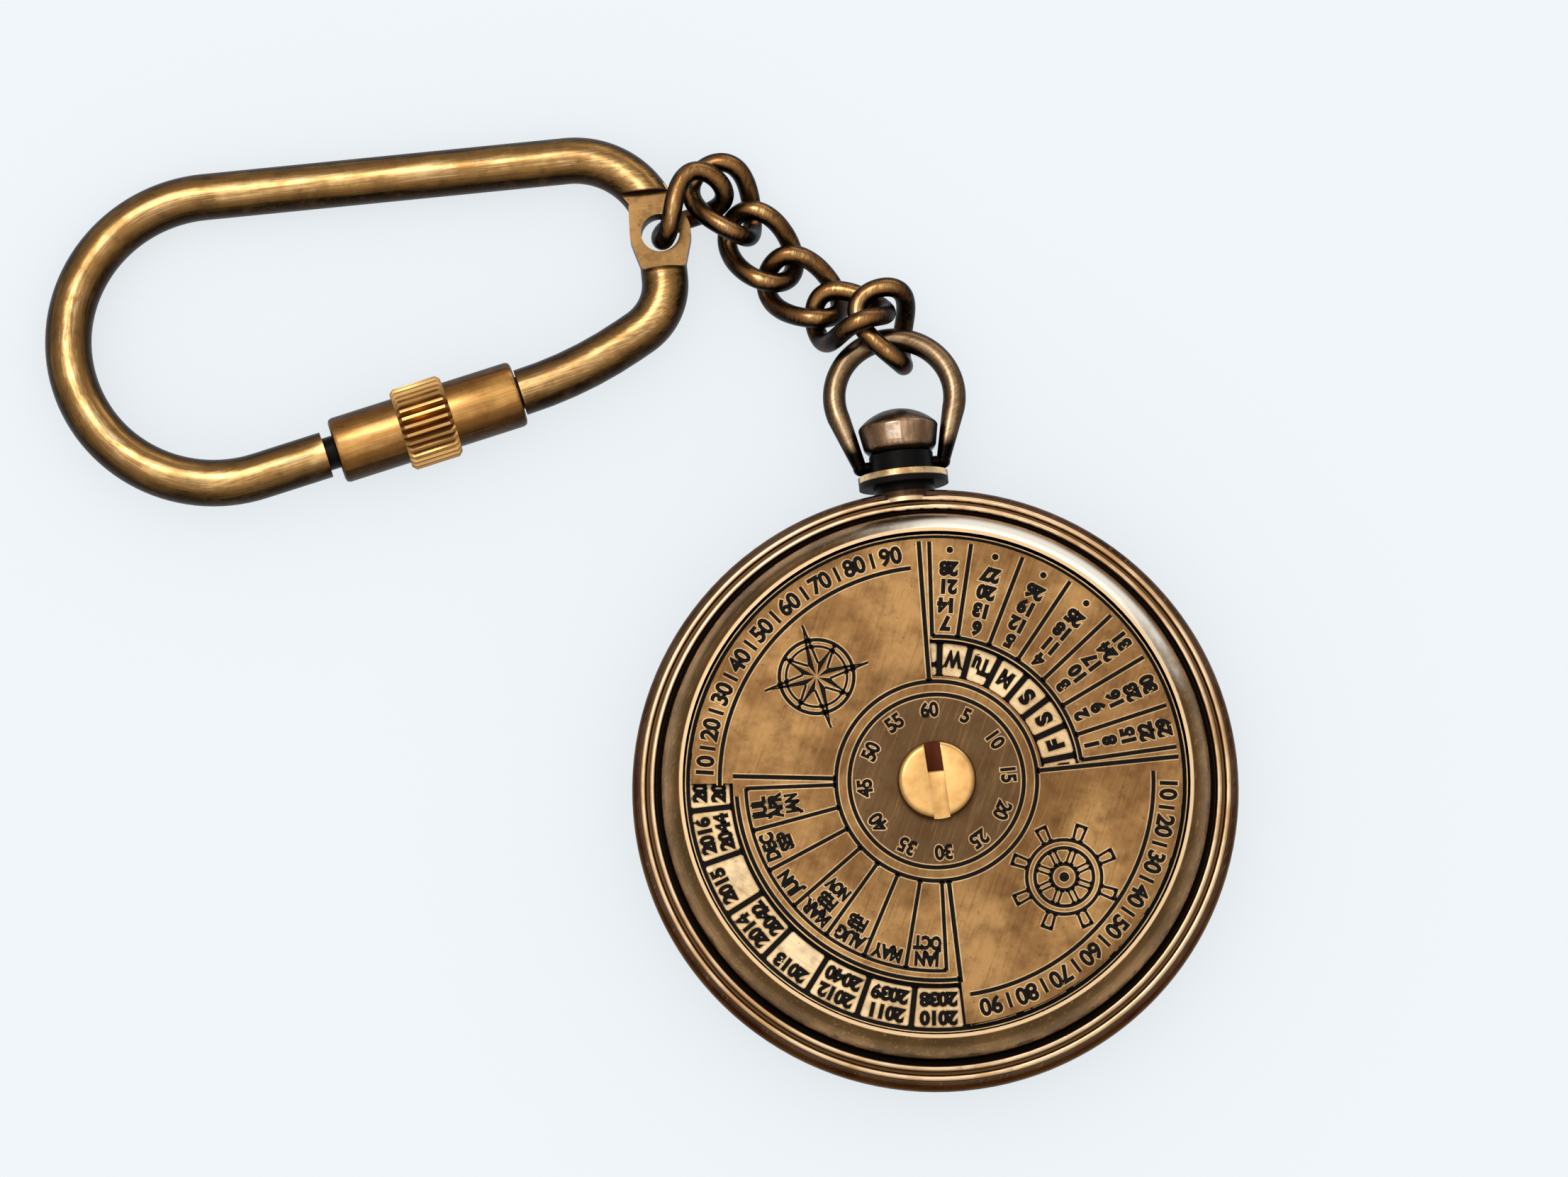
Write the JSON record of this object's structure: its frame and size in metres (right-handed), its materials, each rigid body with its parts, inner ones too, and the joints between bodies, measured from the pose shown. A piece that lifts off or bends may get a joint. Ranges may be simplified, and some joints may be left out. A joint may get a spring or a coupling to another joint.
{
  "type": "perpetual calendar keyring",
  "caption": "Antique-brass long-term calendar in a pocket-watch case with two turning discs, hung by a bow and a curb chain on a screw-lock key shackle.",
  "frame": {"origin": "centre of the flat back of the case, on the table it lies on", "axes": "+Z out of the dial, +Y out through the pendant and bow, +X to the right seen from the dial side"},
  "size_m": [0.0855, 0.0748, 0.0102],
  "materials": {
    "antique_brass": "antiqued, satin",
    "dark_brass": "dark patina",
    "raw_brass": "bright machined"
  },
  "bodies": {
    "case": {"case_body": "dark_brass", "case_back": "dark_brass", "bezel_ring": "antique_brass", "pivot_post": "antique_brass", "spring_washer": "raw_brass", "centre_screw": "raw_brass", "pendant_collar": "antique_brass", "pendant_neck": "dark_brass", "crown": "antique_brass"},
    "year_disc": {"year_disc": "antique_brass"},
    "date_plate": {"date_plate": "antique_brass"},
    "bow": {"bow": "antique_brass"},
    "chain_link_1": {"chain_link_1": "antique_brass"},
    "chain_link_2": {"chain_link_2": "antique_brass"},
    "chain_link_3": {"chain_link_3": "antique_brass"},
    "chain_link_4": {"chain_link_4": "antique_brass"},
    "chain_link_5": {"chain_link_5": "antique_brass"},
    "chain_link_6": {"chain_link_6": "antique_brass"},
    "shackle": {"shackle": "antique_brass"},
    "lock_sleeve": {"lock_sleeve": "antique_brass"}
  },
  "joints": [
    {"name": "year_disc_turn", "type": "hinge", "parent": "case", "child": "year_disc", "pos_m": [0, 0, 0.00735], "axis": [0, 0, 1], "continuous": true},
    {"name": "date_plate_turn", "type": "hinge", "parent": "case", "child": "date_plate", "pos_m": [0, 0, 0.0082], "axis": [0, 0, 1], "continuous": true},
    {"name": "bow_swing", "type": "hinge", "parent": "case", "child": "bow", "pos_m": [0, 0.02455, 0.004], "axis": [1, 0, 0], "range_deg": [-85, 100]},
    {"name": "link_1_swing", "type": "hinge", "parent": "bow", "child": "chain_link_1", "pos_m": [-0.00132, 0.03413, 0.00281], "axis": [0.9922, 0.0674, -0.1053], "range_deg": [-35, 25]},
    {"name": "link_2_swing", "type": "hinge", "parent": "chain_link_1", "child": "chain_link_2", "pos_m": [-0.00194, 0.03532, 0.0044], "axis": [0.0757, 0.8597, 0.5052], "range_deg": [-15, 30]},
    {"name": "link_3_swing", "type": "hinge", "parent": "chain_link_2", "child": "chain_link_3", "pos_m": [-0.00385, 0.03857, 0.00231], "axis": [-0.4744, -0.7078, -0.5234], "range_deg": [-20, 15]},
    {"name": "link_4_swing", "type": "hinge", "parent": "chain_link_3", "child": "chain_link_4", "pos_m": [-0.00643, 0.04222, 0.00095], "axis": [-0.2547, -0.9281, 0.2717], "range_deg": [-35, 12]},
    {"name": "link_5_swing", "type": "hinge", "parent": "chain_link_4", "child": "chain_link_5", "pos_m": [-0.01018, 0.04519, 0.00205], "axis": [-0.6986, -0.2668, -0.6639], "range_deg": [-30, 35]},
    {"name": "link_6_swing", "type": "hinge", "parent": "chain_link_5", "child": "chain_link_6", "pos_m": [-0.01193, 0.04898, 0.00294], "axis": [0.4242, 0.9055, -0.0111], "range_deg": [-15, 25]},
    {"name": "shackle_swing", "type": "hinge", "parent": "chain_link_6", "child": "shackle", "pos_m": [-0.01618, 0.04413, 0.00203], "axis": [-0.0604, -0.034, 0.9976], "range_deg": [-6, 35]},
    {"name": "sleeve_turn", "type": "hinge", "parent": "shackle", "child": "lock_sleeve", "pos_m": [-0.04778, 0.02863, 0.00329], "axis": [0.9768, 0.2143, -0.0068], "continuous": true}
  ]
}
